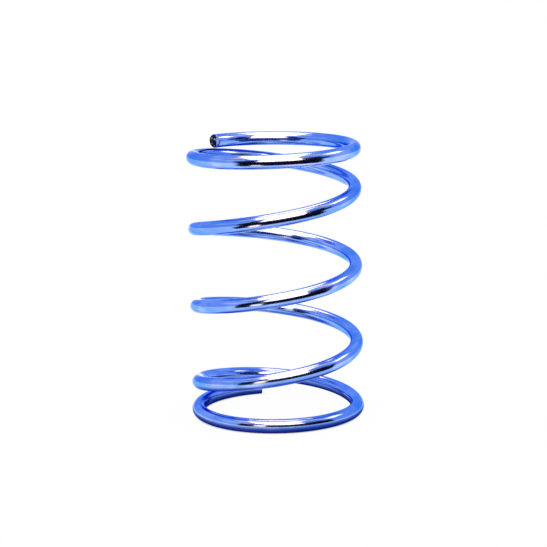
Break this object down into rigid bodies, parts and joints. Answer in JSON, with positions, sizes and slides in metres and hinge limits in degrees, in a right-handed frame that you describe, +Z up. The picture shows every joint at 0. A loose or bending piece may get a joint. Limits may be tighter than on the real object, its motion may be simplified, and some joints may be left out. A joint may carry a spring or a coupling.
{
  "type": "round-wire die spring",
  "caption": "Right-hand helical compression spring in bright blue round wire, with closed unground ends and sheared tips.",
  "frame": {"origin": "on the coil's axis, in the plane that the lowest turn stands on", "axes": "+Z up the coil's axis, from the lower end to the upper; -Y is the front, and both wire tips are at the back"},
  "size_m": [0.025, 0.025, 0.04],
  "materials": {
    "spring_wire": "bright blue metallic lacquer over plated steel wire"
  },
  "bodies": {
    "root": {"spring_coil": "spring_wire"}
  },
  "joints": []
}
